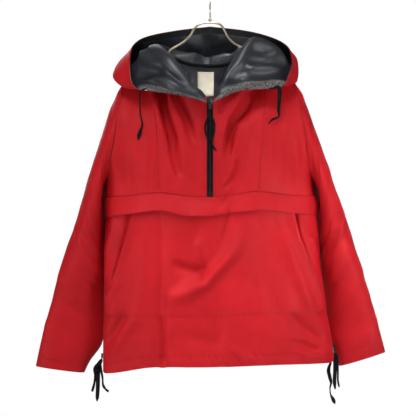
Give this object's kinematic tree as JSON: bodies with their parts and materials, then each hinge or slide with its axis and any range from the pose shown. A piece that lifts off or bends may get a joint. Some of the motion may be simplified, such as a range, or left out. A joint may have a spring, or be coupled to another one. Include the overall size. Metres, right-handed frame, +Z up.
{
  "type": "anorak pullover on hanger",
  "caption": "Red hooded anorak pullover with half zip, storm flap, kangaroo pocket and cords at hood and hem, hanging on a thin wire hanger.",
  "frame": {"origin": "inner top of the hanger's hook, where a rail carries it", "axes": "+Z up; the front of the garment faces -Y; the wearer's right side is at -X"},
  "size_m": [0.807, 0.2676, 0.9257],
  "materials": {
    "back_finish": "matt satin",
    "back_neck_lining_finish": "satin lining",
    "front_centre_left_finish": "matt satin",
    "front_centre_right_finish": "matt satin",
    "front_lower_finish": "matt satin",
    "front_side_left_finish": "matt satin",
    "front_side_right_finish": "matt satin",
    "hanger_frame_finish": "pale metal, satin",
    "hanger_hook_finish": "pale metal, satin",
    "hem_cord_left_inner_finish": "woven tape",
    "hem_cord_left_middle_finish": "woven tape",
    "hem_cord_left_outer_finish": "woven tape",
    "hem_cord_right_inner_finish": "woven tape",
    "hem_cord_right_lower_finish": "woven tape",
    "hem_cord_right_outer_finish": "woven tape",
    "hem_slider_right_finish": "satin",
    "hem_toggle_left_finish": "matt",
    "hood_cord_left_finish": "woven tape",
    "hood_cord_right_finish": "woven tape",
    "hood_eyelet_left_finish": "bright metal",
    "hood_eyelet_right_finish": "bright metal",
    "hood_facing_left_finish": "matt",
    "hood_facing_right_finish": "matt",
    "hood_left_finish": "matt satin",
    "hood_lining_left_finish": "satin lining",
    "hood_lining_right_finish": "satin lining",
    "hood_right_finish": "matt satin",
    "kangaroo_pocket_finish": "matt satin",
    "neck_label_finish": "bare woven label",
    "sleeve_left_finish": "matt satin",
    "sleeve_right_finish": "matt satin",
    "storm_flap_finish": "matt satin",
    "zip_pull_cord_finish": "woven tape",
    "zip_pull_tail_finish": "woven tape",
    "zip_slider_finish": "satin metal",
    "zip_stop_finish": "satin metal",
    "zip_tape_finish": "woven tape"
  },
  "bodies": {
    "root": {"back": "back_finish", "back_neck_lining": "back_neck_lining_finish", "front_centre_left": "front_centre_left_finish", "front_centre_right": "front_centre_right_finish", "front_lower": "front_lower_finish", "front_side_left": "front_side_left_finish", "front_side_right": "front_side_right_finish", "hanger_frame": "hanger_frame_finish", "hanger_hook": "hanger_hook_finish", "hem_cord_left_inner": "hem_cord_left_inner_finish", "hem_cord_left_middle": "hem_cord_left_middle_finish", "hem_cord_left_outer": "hem_cord_left_outer_finish", "hem_cord_right_inner": "hem_cord_right_inner_finish", "hem_cord_right_lower": "hem_cord_right_lower_finish", "hem_cord_right_outer": "hem_cord_right_outer_finish", "hem_slider_right": "hem_slider_right_finish", "hem_toggle_left": "hem_toggle_left_finish", "hood_cord_left": "hood_cord_left_finish", "hood_cord_right": "hood_cord_right_finish", "hood_eyelet_left": "hood_eyelet_left_finish", "hood_eyelet_right": "hood_eyelet_right_finish", "hood_facing_left": "hood_facing_left_finish", "hood_facing_right": "hood_facing_right_finish", "hood_left": "hood_left_finish", "hood_lining_left": "hood_lining_left_finish", "hood_lining_right": "hood_lining_right_finish", "hood_right": "hood_right_finish", "kangaroo_pocket": "kangaroo_pocket_finish", "neck_label": "neck_label_finish", "sleeve_left": "sleeve_left_finish", "sleeve_right": "sleeve_right_finish", "storm_flap": "storm_flap_finish", "zip_pull_cord": "zip_pull_cord_finish", "zip_pull_tail": "zip_pull_tail_finish", "zip_slider": "zip_slider_finish", "zip_stop": "zip_stop_finish", "zip_tape": "zip_tape_finish"}
  },
  "joints": []
}
